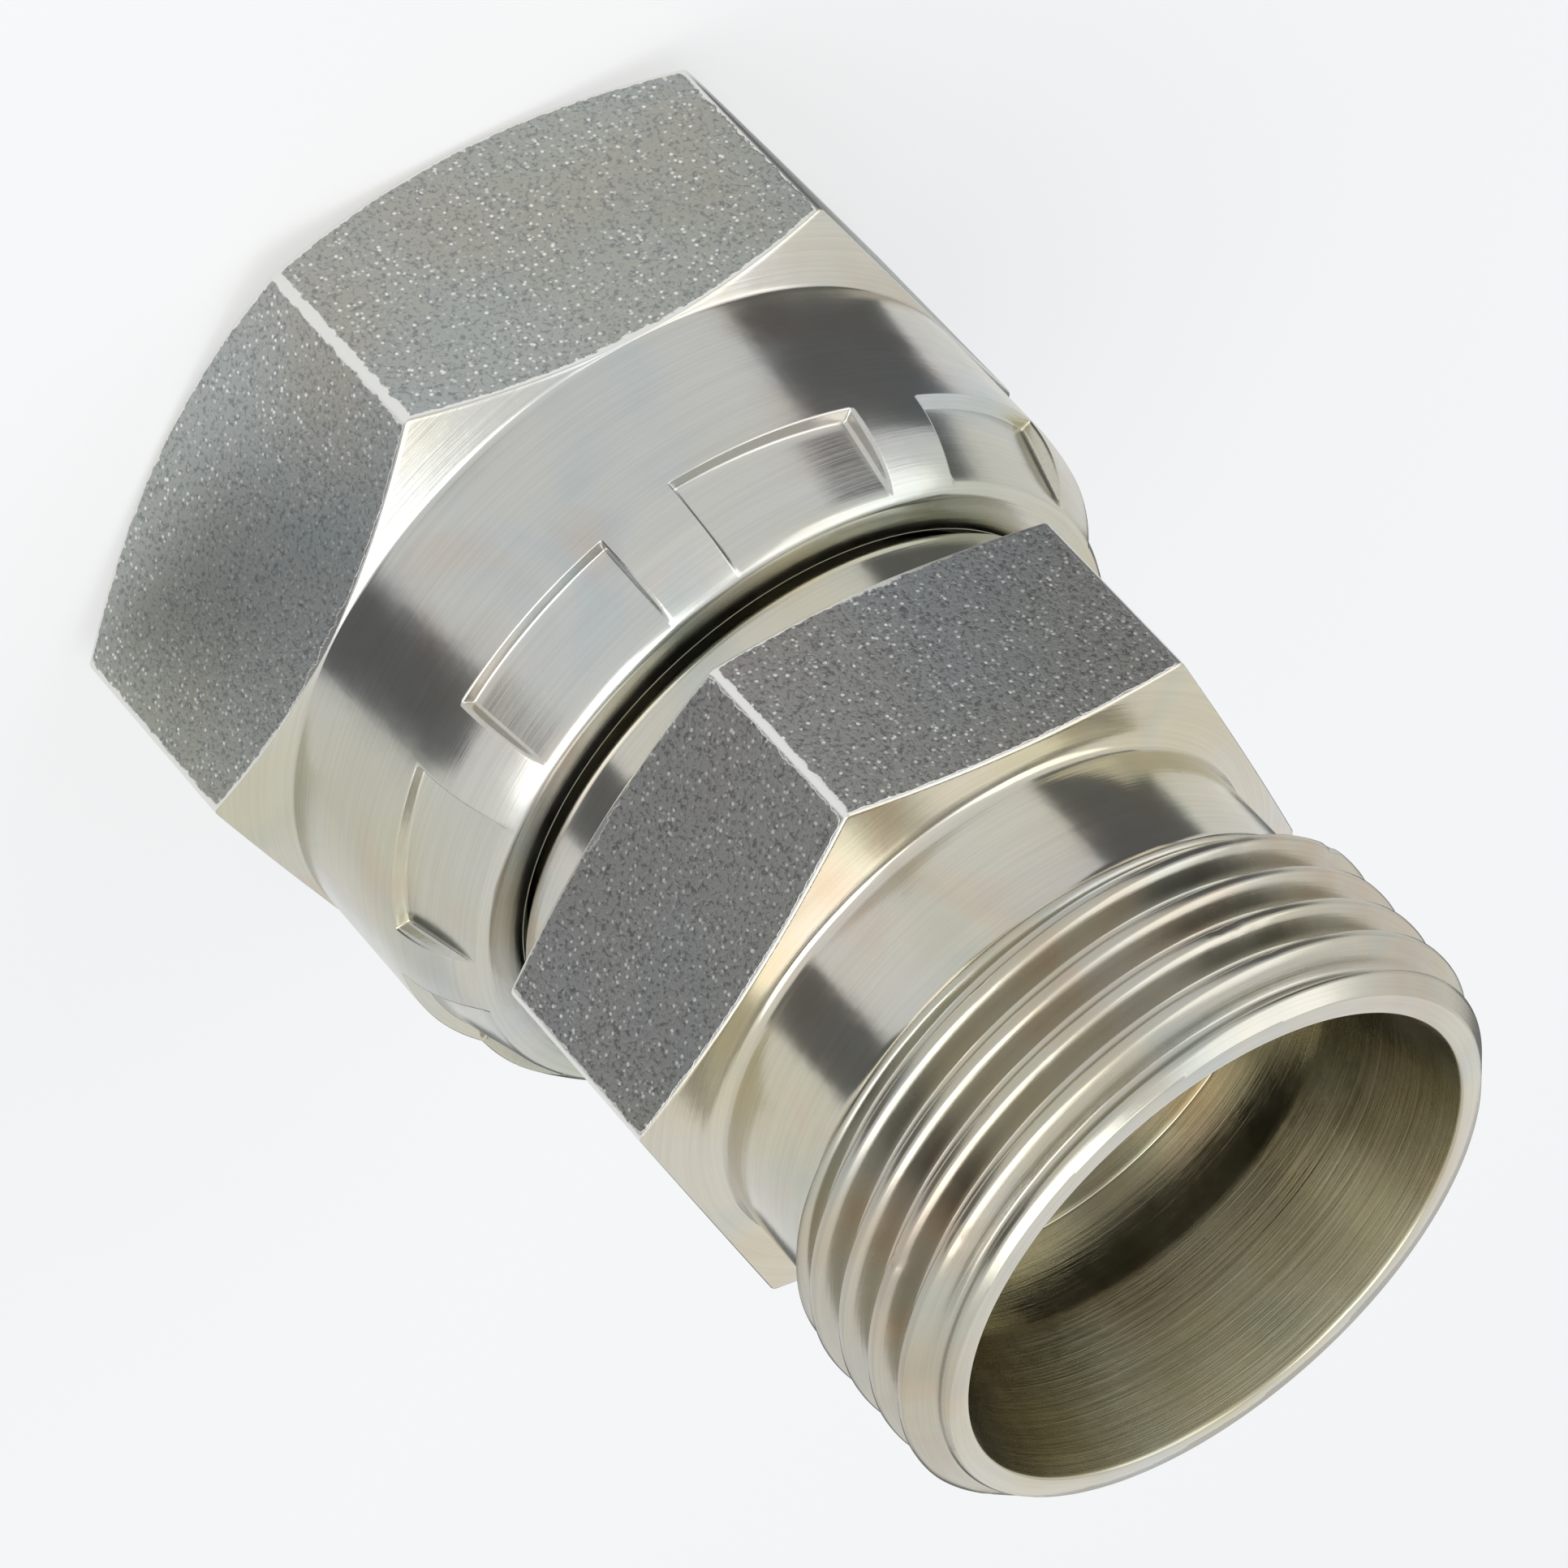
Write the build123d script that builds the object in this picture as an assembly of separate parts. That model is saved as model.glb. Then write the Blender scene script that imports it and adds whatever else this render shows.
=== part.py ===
from build123d import *
import math
import os

# Straight adaptor with a crimped swivel nut, standing on the mouth of the nut.
# Z runs along the axis, 0 at the mouth face of the nut, the male thread is on top.
# All sizes are in millimetres.

# M22 thread of both ends: the solids are plain at its crests, the helix is left to the looks
THREAD_MAJOR_R = 11.0
THREAD_OVERLAP = 0.81
FEMALE_MINOR_R = THREAD_MAJOR_R - THREAD_OVERLAP

# Hexagon of the swivel nut
NUT_FLATS = 27.0
NUT_HEX_BACK = 1.44
NUT_HEX_FRONT = 8.9
NUT_CHAMFER_TAN = math.tan(math.radians(30))
NUT_TURN = 6.8

# Inside of the swivel nut: lead-in, thread, relief bore and the cone behind the lip
MOUTH_LEAD_IN = 0.35
FEMALE_THREAD_END = 9.4
RELIEF_DEPTH = 0.15
RELIEF_R = THREAD_MAJOR_R + RELIEF_DEPTH
LIP_TURN_IN = 0.8
LIP_INNER_R = RELIEF_R - LIP_TURN_IN
LIP_THICK = 1.15
LIP_EDGE = 0.2

# Shank of the swivel nut and its skirt, rolled in over the body.
# The roll is given as height above the skirt's start and drop below the shank.
SHANK_WALL = 2.3
SHANK_R = RELIEF_R + SHANK_WALL
SKIRT_START = 15.0
SKIRT_ROLL = ((0, 0), (1.0, 0.08), (2.0, 0.32), (2.9, 0.75), (3.55, 1.2), (3.75, 1.35), (3.85, 1.55))
LIP_OUTER_R = SHANK_R - SKIRT_ROLL[-2][1]
LIP_FACE = SKIRT_START + SKIRT_ROLL[-1][0]

# Imprints of the nine crimping jaws in the skirt; each leans by its own few degrees
JAWS = 9
JAW_FIRST_ANGLE = 13.6
JAW_WIDTH_ANGLE = 28.0
JAW_BACK = 15.6
JAW_DEPTH = 0.45
JAW_LIP_RISE = 0.08
JAW_LIP_DROP = 0.25
JAW_LEAN = (0.8, 5.5, -2.0, 1.5, -3.0, 2.5, -1.0, 3.0, -3.7)

# Hexagon of the adaptor body and the collar behind it
BODY_FLATS = 22.0
BODY_HEX_BACK = 21.2
BODY_HEX_LENGTH = 7.0
BODY_HEX_FRONT = BODY_HEX_BACK + BODY_HEX_LENGTH
BODY_BACK_TAN = math.tan(math.radians(15))
BODY_FRONT_TAN = math.tan(math.radians(12))
COLLAR_INSET = 0.08
COLLAR_R = BODY_FLATS / 2 - COLLAR_INSET
COLLAR_DISH = 0.05
COLLAR_EDGE_IN = 0.25
COLLAR_EDGE_UP = 0.28

# Neck and threaded stub, measured from the front of the body's hexagon
NECK_RELIEF = 1.05
NECK_R = THREAD_MAJOR_R - NECK_RELIEF
NECK_FILLET = 0.4
NECK_FILLET_MIDDLE = 0.3 * NECK_FILLET
NECK_LENGTH = 5.0
NECK_END = BODY_HEX_FRONT + NECK_LENGTH
RUNOUT_SLOPE = 0.67
STUB_LENGTH = 12.55
STUB_FACE = BODY_HEX_FRONT + STUB_LENGTH
LEAD_IN_DEPTH = 0.94
LEAD_IN_SLOPE = 1.22

# 24 degree seat, tube socket and bore of the stub
RIM_WIDTH = 0.72
MOUTH_R = THREAD_MAJOR_R - LEAD_IN_DEPTH - RIM_WIDTH
MOUTH_BREAK = 0.18
SEAT_TAN = math.tan(math.radians(12))
SEAT_DEPTH = 5.41
SEAT_STEP = 1.14
SOCKET_R = MOUTH_R - SEAT_STEP
SOCKET_DEPTH = 8.5
SOCKET_STEP = 2.2
BORE_R = SOCKET_R - SOCKET_STEP
BORE_STEP = 1.0
TAIL_BORE_R = BORE_R - BORE_STEP
TAIL_BORE_TOP = 14.0

# Tail of the body inside the nut: flange behind the lip, groove under it, and nose cone
FLANGE_CLEARANCE = 0.08
FLANGE_FRONT = 13.2
FLANGE_EDGE = 0.5
SHOULDER_GAP = 0.2
LIP_CLEARANCE = 0.5
GROOVE_R = LIP_INNER_R - LIP_CLEARANCE
GROOVE_GAP = 0.32
NOSE_INSET = 0.39
NOSE_R = MOUTH_R - NOSE_INSET
NOSE_TOP = 10.4
NOSE_TIP = 3.6
NOSE_EDGE = 0.4

# Sealing ring in its groove round the nose
RING_SECTION_R = 1.0
RING_Z = 6.0
RING_GROOVE_WALL = 1.25
RING_GROOVE_R = TAIL_BORE_R + RING_GROOVE_WALL
RING_GROOVE_WIDTH = 2.5
RING_FIT = 0.02

# Spare size of cutting shapes past what they cut
SPARE = 0.5
REACH = 2 * NUT_FLATS


def corner_radius(flats):
    """Radius over the corners of a hexagon from its size over the flats."""
    return flats / 2 / math.cos(math.radians(30))


def turned(points):
    """Solid of revolution about Z from (radius, height) points."""
    face = make_face(Polyline(*[(r, 0, z) for r, z in points], close=True))
    return revolve(face, Axis.Z, 360)


def hexagon_bar(flats, bottom, top, turn):
    """Hexagonal bar between two heights, one corner turned to the given angle."""
    bar = extrude(RegularPolygon(corner_radius(flats), 6), top - bottom)
    return Pos(0, 0, bottom) * Rot(0, 0, turn) * bar


def jaw_floor(z):
    """Radius of the floor pressed by a jaw at height z."""
    lip_floor = LIP_OUTER_R + JAW_LIP_RISE
    share = (z - JAW_BACK) / (LIP_FACE - JAW_LIP_DROP - JAW_BACK)
    return (SHANK_R - JAW_DEPTH) * (1 - share) + lip_floor * share


def jaw_imprint(number):
    """One jaw imprint: a sector deepest at its back edge, which leans a little."""
    low = JAW_BACK - 2 * SPARE
    high = LIP_FACE + 2 * SPARE
    ring = turned([(jaw_floor(low), low), (REACH, low), (REACH, high), (jaw_floor(high), high)])
    half_width = REACH * math.tan(math.radians(JAW_WIDTH_ANGLE / 2))
    wedge = make_face(Polyline((0, 0), (REACH, -half_width), (REACH, half_width), close=True))
    sector = Pos(0, 0, low) * extrude(wedge, high - low)
    above = Pos(REACH / 2, 0, REACH / 2) * Box(REACH, REACH, REACH)
    above = Pos(0, 0, JAW_BACK) * Rot(JAW_LEAN[number], 0, 0) * above
    return ring & (Rot(0, 0, JAW_FIRST_ANGLE + number * 360 / JAWS) * (sector & above))


def nut_outside():
    """Chamfered hexagon, round shank and the skirt rolled in to the lip."""
    corner = corner_radius(NUT_FLATS)
    face_r = corner - NUT_HEX_BACK / NUT_CHAMFER_TAN
    shank_foot = NUT_HEX_FRONT + (corner - SHANK_R) * NUT_CHAMFER_TAN
    blank = turned([
        (0, 0),
        (face_r, 0),
        (corner + SPARE, NUT_HEX_BACK + SPARE * NUT_CHAMFER_TAN),
        (corner + SPARE, NUT_HEX_FRONT - SPARE * NUT_CHAMFER_TAN),
        (SHANK_R, shank_foot),
        (0, shank_foot),
    ])
    head = blank & hexagon_bar(NUT_FLATS, -SPARE, shank_foot + SPARE, NUT_TURN)
    skirt = turned([
        (0, shank_foot - SPARE),
        (SHANK_R, shank_foot - SPARE),
        *[(SHANK_R - drop, SKIRT_START + rise) for rise, drop in SKIRT_ROLL],
        (0, LIP_FACE),
    ])
    return head + skirt


def swivel_nut():
    """Nut with the nine jaw imprints in its skirt, its threaded hole and relief bore."""
    nut = nut_outside()
    for number in range(JAWS):
        nut = nut - jaw_imprint(number)
    mouth_r = THREAD_MAJOR_R + MOUTH_LEAD_IN
    lip_back = LIP_FACE - LIP_THICK
    hollow = turned([
        (0, -SPARE),
        (mouth_r, -SPARE),
        (mouth_r, 0),
        (FEMALE_MINOR_R, mouth_r - FEMALE_MINOR_R),
        (FEMALE_MINOR_R, FEMALE_THREAD_END),
        (RELIEF_R, FEMALE_THREAD_END + RELIEF_R - FEMALE_MINOR_R),
        (RELIEF_R, lip_back - LIP_TURN_IN),
        (LIP_INNER_R, lip_back),
        (LIP_INNER_R, LIP_FACE - LIP_EDGE),
        (LIP_INNER_R + LIP_EDGE, LIP_FACE),
        (LIP_INNER_R + LIP_EDGE, LIP_FACE + SPARE),
        (0, LIP_FACE + SPARE),
    ])
    return nut - hollow


def body_outside():
    """Turned outline over the nose, flange, groove, collar, hexagon blank, neck and stub."""
    corner = corner_radius(BODY_FLATS)
    flange_r = RELIEF_R - FLANGE_CLEARANCE
    shoulder = LIP_FACE - LIP_THICK + LIP_INNER_R - SHOULDER_GAP
    collar_back = LIP_FACE + GROOVE_GAP
    tip_r = NOSE_R - (NOSE_TOP - NOSE_TIP) * SEAT_TAN
    foot_r = NECK_R + NECK_FILLET
    foot_z = BODY_HEX_FRONT + (corner - foot_r) * BODY_FRONT_TAN
    return [
        (0, NOSE_TIP),
        (tip_r - NOSE_EDGE, NOSE_TIP),
        (tip_r, NOSE_TIP + NOSE_EDGE),
        (NOSE_R, NOSE_TOP),
        (NOSE_R, FLANGE_FRONT),
        (flange_r - FLANGE_EDGE, FLANGE_FRONT),
        (flange_r, FLANGE_FRONT + FLANGE_EDGE),
        (flange_r, shoulder - flange_r),
        (GROOVE_R, shoulder - GROOVE_R),
        (GROOVE_R, collar_back),
        (COLLAR_R - COLLAR_EDGE_IN, collar_back + COLLAR_DISH),
        (COLLAR_R, collar_back + COLLAR_DISH + COLLAR_EDGE_UP),
        (COLLAR_R, BODY_HEX_BACK - (corner - COLLAR_R) * BODY_BACK_TAN),
        (corner + SPARE, BODY_HEX_BACK + SPARE * BODY_BACK_TAN),
        (corner + SPARE, BODY_HEX_FRONT - SPARE * BODY_FRONT_TAN),
        (foot_r, foot_z),
        (NECK_R + NECK_FILLET_MIDDLE, foot_z + NECK_FILLET_MIDDLE),
        (NECK_R, foot_z + NECK_FILLET),
        (NECK_R, NECK_END),
        (THREAD_MAJOR_R, NECK_END + NECK_RELIEF * RUNOUT_SLOPE),
        (THREAD_MAJOR_R, STUB_FACE - LEAD_IN_DEPTH * LEAD_IN_SLOPE),
        (THREAD_MAJOR_R - LEAD_IN_DEPTH, STUB_FACE),
        (0, STUB_FACE),
    ]


def body_bore():
    """Hollow of the body: narrow tail bore, bore, tube socket and seat cone."""
    seat_top_r = SOCKET_R + SEAT_DEPTH * SEAT_TAN
    return turned([
        (0, NOSE_TIP - SPARE),
        (TAIL_BORE_R, NOSE_TIP - SPARE),
        (TAIL_BORE_R, TAIL_BORE_TOP),
        (BORE_R, TAIL_BORE_TOP + BORE_STEP),
        (BORE_R, STUB_FACE - SOCKET_DEPTH),
        (SOCKET_R, STUB_FACE - SOCKET_DEPTH),
        (SOCKET_R, STUB_FACE - SEAT_DEPTH),
        (seat_top_r - MOUTH_BREAK * SEAT_TAN, STUB_FACE - MOUTH_BREAK),
        (MOUTH_R, STUB_FACE),
        (MOUTH_R, STUB_FACE + SPARE),
        (0, STUB_FACE + SPARE),
    ])


def adaptor_body():
    """One turned piece with the hexagon milled on it, bored and grooved for the ring."""
    corner = corner_radius(BODY_FLATS)
    hex_start = BODY_HEX_BACK - (corner - COLLAR_R) * BODY_BACK_TAN
    hex_end = BODY_HEX_FRONT + (corner - NECK_R) * BODY_FRONT_TAN
    around = turned([
        (0, hex_start),
        (corner + 2 * SPARE, hex_start),
        (corner + 2 * SPARE, hex_end),
        (0, hex_end),
    ])
    body = turned(body_outside()) - (around - hexagon_bar(BODY_FLATS, hex_start, hex_end, 0))
    half_width = RING_GROOVE_WIDTH / 2
    ring_groove = turned([
        (RING_GROOVE_R, RING_Z - half_width),
        (NOSE_R, RING_Z - half_width),
        (NOSE_R, RING_Z + half_width),
        (RING_GROOVE_R, RING_Z + half_width),
    ])
    return body - body_bore() - ring_groove


def sealing_ring():
    """Round ring lying on the floor of the nose groove."""
    centre_r = RING_GROOVE_R + RING_FIT + RING_SECTION_R
    return Pos(0, 0, RING_Z) * Torus(centre_r, RING_SECTION_R)


os.makedirs("parts", exist_ok=True)
export_step(adaptor_body(), "parts/adaptor_body.step")
export_step(swivel_nut(), "parts/swivel_nut.step")
export_step(sealing_ring(), "parts/o_ring.step")
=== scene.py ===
import bpy
import math
import numpy as np
from mathutils import Matrix, Vector


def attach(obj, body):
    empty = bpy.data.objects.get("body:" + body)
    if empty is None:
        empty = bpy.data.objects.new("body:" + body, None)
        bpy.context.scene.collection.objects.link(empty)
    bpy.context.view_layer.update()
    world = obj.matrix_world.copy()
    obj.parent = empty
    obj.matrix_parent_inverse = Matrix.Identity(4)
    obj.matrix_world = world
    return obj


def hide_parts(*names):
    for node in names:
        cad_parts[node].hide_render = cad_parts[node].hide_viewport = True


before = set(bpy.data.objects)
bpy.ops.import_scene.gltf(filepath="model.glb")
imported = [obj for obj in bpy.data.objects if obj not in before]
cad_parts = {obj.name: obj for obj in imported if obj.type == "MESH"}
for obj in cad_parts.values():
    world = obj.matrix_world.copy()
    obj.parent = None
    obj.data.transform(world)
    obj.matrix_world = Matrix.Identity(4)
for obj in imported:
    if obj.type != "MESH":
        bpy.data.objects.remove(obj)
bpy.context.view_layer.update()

# Sizes of the fitting in millimetres, heights from the mouth face of the nut
MM = 0.001

# M22 x 1.5 threads of both ends
PITCH = 1.5
THREAD_R = 11.0
THREAD_ROOT_R = 10.08
THREAD_ROOT_FLAT = PITCH / 6
THREAD_CREST_FLAT = 0.3
THREAD_PHASE_Z = 33.95
FEMALE_MINOR_R = THREAD_R - 0.81
FEMALE_ROOT_R = 11.02
FEMALE_CREST_FLAT = PITCH / 4
FEMALE_ROOT_FLAT = PITCH / 8
FEMALE_THREAD_END = 9.4
MOUTH_LEAD_R = THREAD_R + 0.35

# Softening of a thread's flank: places along it, the rise there, and rows in the flats
FLANK_PLACES = np.array([0.08, 0.3, 0.7, 0.92])
FLANK_RISES = np.array([0.05, 0.3, 0.7, 0.94])
FLAT_ROW_SHARE = 0.7
CREST_EDGE_RISE = 0.995

# Swivel nut: hexagon, shank, relief bore and lip
NUT_FLATS = 27.0
NUT_TURN = 6.8
NUT_HEX_BACK = 1.44
NUT_HEX_FRONT = 8.9
NUT_CHAMFER_TAN = math.tan(math.radians(30))
NUT_CORNER_ROUND = 0.28
RELIEF_R = THREAD_R + 0.15
SHANK_R = RELIEF_R + 2.3
SKIRT_START = 15.0
LIP_OUTER_R = SHANK_R - 1.35
LIP_INNER_R = RELIEF_R - 0.8
LIP_FACE = 18.85
LIP_BACK = LIP_FACE - 1.15
LIP_EDGE = 0.2
LIP_CORNER_DROP = 0.12

# Skirt: its roll towards the axis, and the nine imprints of the crimping jaws
ROLL_RATE = 0.07
ROLL_POWER = 2.25
LIP_PULL_POWER = 6
JAWS = 9
JAW_SPACING = 360.0 / JAWS
JAW_FIRST_ANGLE = 13.6
JAW_WIDTH_ANGLE = 28.0
JAW_BACK = 15.6
JAW_DEPTH = 0.45
JAW_RADIUS = 13.0
JAW_WALL_ANGLE = 0.5
JAW_LEAN = (0.8, 5.5, -2.0, 1.5, -3.0, 2.5, -1.0, 3.0, -3.7)
JAW_LIP_RISE = 0.08
JAW_LIP_DROP = 0.25
JAW_STEP_PLACES = (-0.3, -0.08, 0.0, 0.015, 0.05, 0.07, 0.12)
JAW_STEP_DEPTHS = (0.0, 0.0, 0.0, 0.12, 0.85, 0.97, 1.0)
JAW_FLOOR_ROWS = 12

# Adaptor body: hexagon, collar and neck
BODY_FLATS = 22.0
BODY_HEX_BACK = 21.2
BODY_HEX_FRONT = BODY_HEX_BACK + 7.0
BODY_BACK_TAN = math.tan(math.radians(15))
BODY_FRONT_TAN = math.tan(math.radians(12))
BODY_CORNER_ROUND = 0.24
COLLAR_R = BODY_FLATS / 2 - 0.08
COLLAR_EDGE = 0.25
COLLAR_DISH = 0.05
COLLAR_START = LIP_FACE + 0.32
COLLAR_EDGE_END = COLLAR_START + COLLAR_DISH + 0.28
NECK_R = THREAD_R - 1.05
NECK_FILLET = 0.4
NECK_FILLET_IN = 0.1
NECK_FILLET_UP = 0.14
NECK_END = BODY_HEX_FRONT + 5.0
NECK_LAST_ROW = 0.3

# Threaded stub, seat and bores
RUNOUT_SLOPE = 0.67
LEAD_IN_SLOPE = 1.22
STUB_FACE = BODY_HEX_FRONT + 12.55
FACE_OUTER_R = THREAD_R - 0.94
MOUTH_R = FACE_OUTER_R - 0.72
SEAT_TAN = math.tan(math.radians(12))
SEAT_END = STUB_FACE - 5.41
SOCKET_R = MOUTH_R - 1.14
SOCKET_END = STUB_FACE - 8.5
BORE_R = SOCKET_R - 2.2
BORE_STEP = 1.0
TAIL_BORE_R = BORE_R - BORE_STEP
TAIL_BORE_TOP = 14.0

# Tail of the body inside the nut, and the sealing ring in its groove
FLANGE_R = RELIEF_R - 0.08
FLANGE_FRONT = 13.2
FLANGE_EDGE = 0.5
SHOULDER_SUM = LIP_BACK + LIP_INNER_R - 0.2
GROOVE_R = LIP_INNER_R - 0.5
NOSE_R = MOUTH_R - 0.39
NOSE_TOP = 10.4
NOSE_TIP = 3.6
NOSE_EDGE = 0.4
RING_Z = 6.0
RING_SECTION_R = 1.0
RING_GROOVE_LOW = RING_Z - 1.25
RING_GROOVE_HIGH = RING_Z + 1.25
RING_GROOVE_R = TAIL_BORE_R + 1.25
RING_CENTRE_R = RING_GROOVE_R + 0.02 + RING_SECTION_R

# Columns of the meshes, in degrees, and rows that keep the painted highlight on a hexagon's edges narrow
COLUMN_STEP = 1.5
COLUMN_GAP = 0.2
CORNER_COLUMNS = (-1.3, -0.8, -0.55, -0.28, 0.0, 0.28, 0.55, 0.8, 1.3)
JAW_COLUMNS = (-0.8, -0.25, -0.1, 0.1, 0.25, 0.8)
HIGHLIGHT_ROW_REACH = 0.5
MERGE_DECIMALS = 5

# Painted edge highlight: how far it reaches on each hexagon and the lip, and where it is looked for
BODY_HIGHLIGHT_REACH = 0.34
NUT_HIGHLIGHT_REACH = 0.4
HIGHLIGHT_END_WEIGHT = 1.5
HIGHLIGHT_SLACK = 0.12
HIGHLIGHT_HEX_MARGIN = 0.5
HIGHLIGHT_COLLAR_MARGIN = 0.02
HIGHLIGHT_EDGE_MARGIN = 0.1
LIP_HIGHLIGHT_REACH = 0.3
LIP_HIGHLIGHT_LEVEL = 0.7

# Rounding of the turned edges, and the finishes of a piece's sides by number
EDGE_BREAK = 0.1
NO_BREAK = 0.01
TURNED, FLAT, THREAD, BORE = 0, 1, 2, 3

# Nicks in the crests of the thread
NICKS = 46
NICK_HEIGHTS = (34.2, 40.2)
NICK_SIZES = (0.12, 0.26)
NICK_DEPTHS = (0.03, 0.11)
NICK_FOOT_R = 10.5
NICK_FULL_RISE = 0.4
NICK_STRETCH = 0.7
NICKED_BAND = (33.6, 40.7)
rng = np.random.default_rng(27)


def azimuths(centres, offsets):
    """Column azimuths in radians: an even step plus offsets around each centre in degrees."""
    even = np.arange(0.0, 360.0, COLUMN_STEP)
    extra = (np.asarray(centres)[:, None] + np.asarray(offsets)[None, :]).ravel() % 360.0
    gap = np.abs((even[:, None] - extra[None, :] + 180.0) % 360.0 - 180.0).min(axis=1)
    kept = even[gap > COLUMN_GAP]
    return np.radians(np.unique(np.round(np.concatenate([kept, extra]), 4)))


def from_corner(azimuth, turn):
    """Angle in radians from the nearest corner of a hexagon turned by the given degrees."""
    return np.radians((np.degrees(azimuth) - turn + 30.0) % 60.0 - 30.0)


def corner_radius(flats):
    """Radius over a hexagon's sharp corners: half its flats over cos(30 degrees)."""
    return flats / 2 / math.cos(math.radians(30))


def hexagon_radius(azimuth, flats, turn, corner_round):
    """Radius of a hexagonal bar: half the flats over cos(angle from the flat's middle).

    Near a corner it is the circle of radius corner_round that touches both flats:
    c cos(b) + sqrt(corner_round^2 - (c sin(b))^2), b the angle from the corner.
    """
    b = from_corner(azimuth, turn)
    flat = flats / 2 / np.cos(math.radians(30) - np.abs(b))
    c = corner_radius(flats - 2 * corner_round)
    arc = c * np.cos(b) + np.sqrt(np.maximum(corner_round**2 - (c * np.sin(b)) ** 2, 0.0))
    touch = math.atan2(corner_round / 2, c + corner_round * math.cos(math.radians(30)))
    return np.where(np.abs(b) < touch, arc, flat)


def station(r, z, bevel=EDGE_BREAK, finish=TURNED):
    """A corner of an outline, with its rounding and the finish of the side that follows it."""
    return r, z, bevel, finish


def rounded(stations, count):
    """Rows of (radius, height) along an outline with rounded corners, and each gap's finish.

    A corner P becomes (1-t)^2 A + 2t(1-t) P + t^2 B, with A and B at the bevel's distance on
    its two sides, at most 0.4 of a side, and one more row beyond A and B keeps the sides straight.
    """
    corners = []
    for r, z, _, _ in stations:
        corners.append(np.stack([np.broadcast_to(r, count), np.broadcast_to(z, count)], -1).astype(float))
    rows, finishes = [corners[0]], []
    for i in range(1, len(corners) - 1):
        p, bevel = corners[i], stations[i][2]
        before, after = stations[i - 1][3], stations[i][3]
        back, on = corners[i - 1] - p, corners[i + 1] - p
        back_length = np.linalg.norm(back, axis=1, keepdims=True)
        on_length = np.linalg.norm(on, axis=1, keepdims=True)
        back = back / np.maximum(back_length, 1e-9)
        on = on / np.maximum(on_length, 1e-9)
        cut = np.minimum(bevel, 0.4 * np.minimum(back_length, on_length))
        a, b = p + back * cut, p + on * cut
        rows += [p + back * np.minimum(1.8 * cut, 0.45 * back_length), a]
        for t in (1 / 3, 2 / 3):
            rows.append((1 - t) ** 2 * a + 2 * t * (1 - t) * p + t * t * b)
        rows += [b, p + on * np.minimum(1.8 * cut, 0.45 * on_length)]
        finishes += [before] * 3 + [after] * 3
    rows.append(corners[-1])
    finishes.append(stations[-2][3])
    return np.array(rows), finishes


def thread_phases(low_flat, high_flat):
    """Places within one pitch, 0 at the middle of the low flat, and the share of depth there.

    The flank rises evenly between the flats, and both of its ends are softened by rows
    that stay a little inside the sharp corners.
    """
    low = low_flat / 2 / PITCH
    high = 0.5 - high_flat / 2 / PITCH
    flank = low + FLANK_PLACES * (high - low)
    crest = [0.5 - FLAT_ROW_SHARE * (0.5 - high), 0.5]
    place = np.concatenate([[0.0, FLAT_ROW_SHARE * low], flank, crest])
    share = np.concatenate([[0.0, 0.0], FLANK_RISES, [CREST_EDGE_RISE, 1.0]])
    return np.concatenate([place, 1.0 - place[-2:0:-1]]), np.concatenate([share, share[-2:0:-1]])


def thread_rows(azimuth, radii, flats, bottom, top, phase_z, limit):
    """Rows that follow a right-hand helix: height = row's height + pitch * azimuth / full turn.

    They are clipped to the heights bottom and top. limit(radius, height) keeps their radius
    inside the cones at both ends. Rows per pitch come last.
    """
    phase, share = thread_phases(*flats)
    first = math.floor((bottom - PITCH - phase_z) / PITCH)
    last = math.ceil((top - phase_z) / PITCH)
    turns = np.arange(first, last + 1)
    base = (phase_z + (turns[:, None] + phase[None, :]) * PITCH).ravel()
    height = base[:, None] + PITCH * azimuth[None, :] / (2 * math.pi)
    z = np.clip(height, bottom, top)
    low_r, high_r = radii
    r = low_r + (high_r - low_r) * np.tile(share, len(turns))[:, None] * np.ones_like(z)
    return np.stack([limit(r, z), z], -1), len(phase)


def block_faces(index, finishes, shift):
    """Quads between the rows of one block of vertex numbers, and the finish of each quad.

    The last column joins the first one shift rows further on, as a helix needs.
    """
    count, columns = index.shape
    finishes = np.asarray(finishes)
    across = np.stack([index[:-1, :-1], index[:-1, 1:], index[1:, 1:], index[1:, :-1]], -1)
    up, down = max(shift, 0), max(-shift, 0)
    last, first = index[down:count - up, -1], index[up:count - down, 0]
    seam = np.stack([last[:-1], first[:-1], first[1:], last[1:]], -1)
    quads = np.concatenate([across.reshape(-1, 4), seam])
    return quads, np.concatenate([np.repeat(finishes, columns - 1), finishes[down:count - 1 - up]])


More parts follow.
